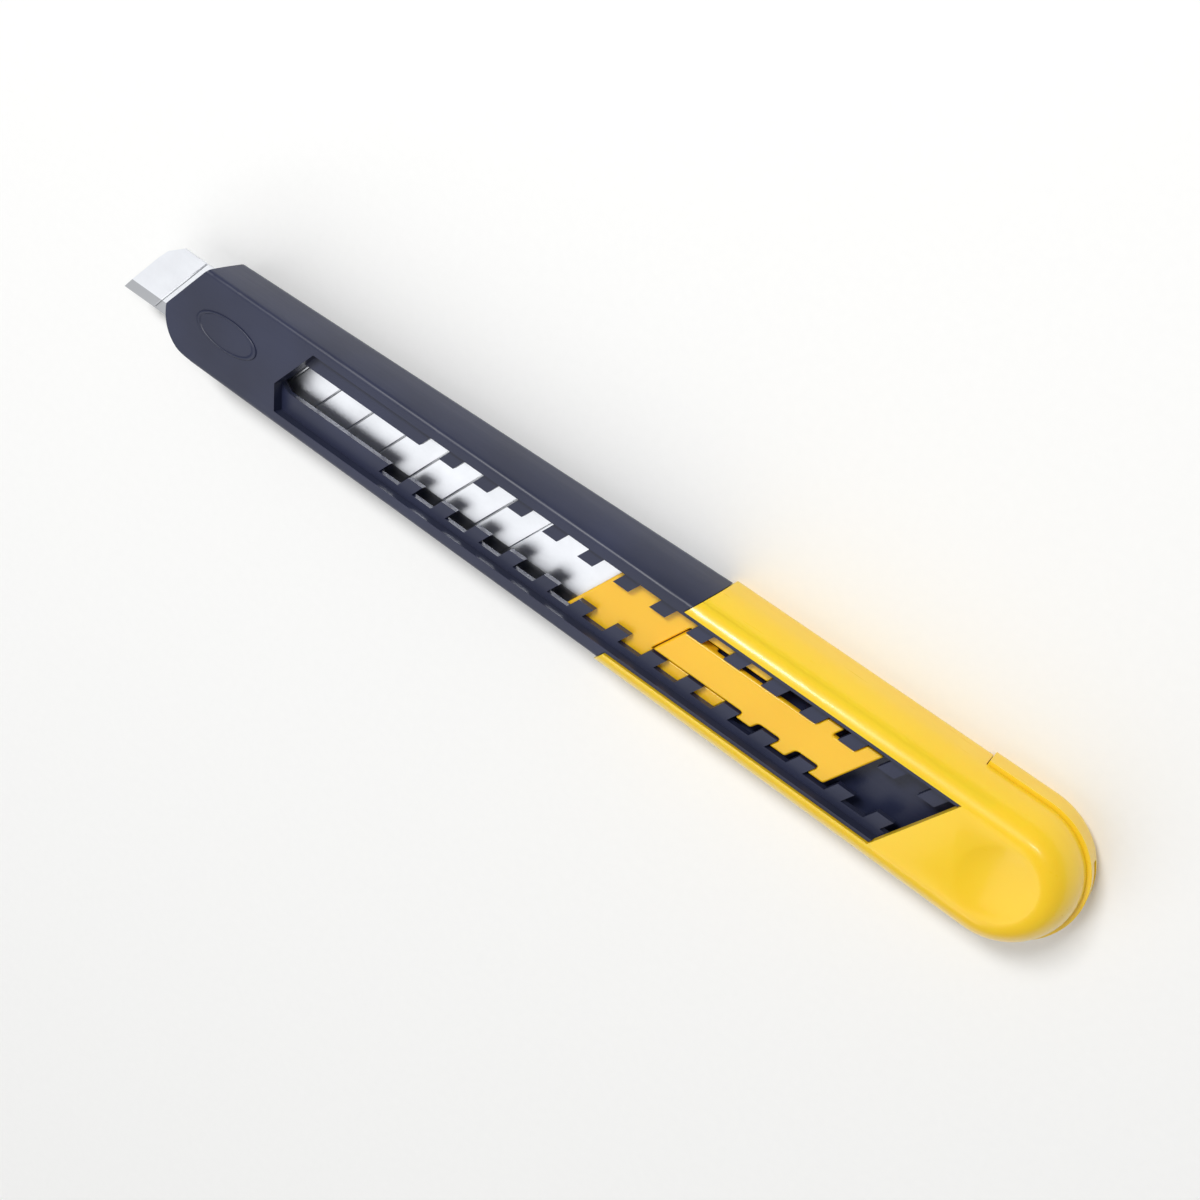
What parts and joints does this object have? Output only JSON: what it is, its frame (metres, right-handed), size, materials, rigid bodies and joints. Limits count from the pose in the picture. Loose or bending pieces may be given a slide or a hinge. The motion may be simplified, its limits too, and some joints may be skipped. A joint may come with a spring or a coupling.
{
  "type": "utility knife",
  "caption": "Slim snap-off utility knife: channel body with a notched thumb slot, grip sleeve with a window, sprung slider and a scored steel blade.",
  "frame": {"origin": "middle of the whole knife, on the back that it lies on", "axes": "+X from the nose to the tail, +Y towards the blade's unsharpened back, +Z out of the slotted face"},
  "size_m": [0.1342, 0.0174, 0.0096],
  "materials": {
    "body_plastic": "satin indigo-black moulded plastic",
    "grip_plastic": "glossy warm yellow moulded plastic",
    "slider_plastic": "glossy warm yellow moulded plastic",
    "blade_steel": "bright ground steel"
  },
  "bodies": {
    "handle": {"body_channel": "body_plastic", "grip_sleeve": "grip_plastic"},
    "carrier": {"blade_carrier": "slider_plastic", "blade_tang": "blade_steel", "blade_segment_01": "blade_steel", "blade_segment_02": "blade_steel", "blade_segment_03": "blade_steel", "blade_segment_04": "blade_steel", "blade_segment_05": "blade_steel", "blade_segment_06": "blade_steel", "blade_segment_07": "blade_steel", "blade_segment_08": "blade_steel", "blade_segment_09": "blade_steel", "blade_segment_10": "blade_steel", "blade_segment_11": "blade_steel", "blade_segment_12": "blade_steel"},
    "latch": {"thumb_latch": "slider_plastic"},
    "cap": {"end_cap": "grip_plastic"}
  },
  "joints": [
    {"name": "blade_slide", "type": "slide", "parent": "handle", "child": "carrier", "axis": [-1, 0, 0], "range_m": [-0.01, 0.05]},
    {"name": "latch_press", "type": "hinge", "parent": "carrier", "child": "latch", "pos_m": [0.01575, 0, 0.00575], "axis": [0, 1, 0], "range_deg": [0, 3.5], "stiffness_Nm_per_rad": 0.5},
    {"name": "cap_pull", "type": "slide", "parent": "handle", "child": "cap", "axis": [1, 0, 0], "range_m": [0, 0.026]}
  ]
}
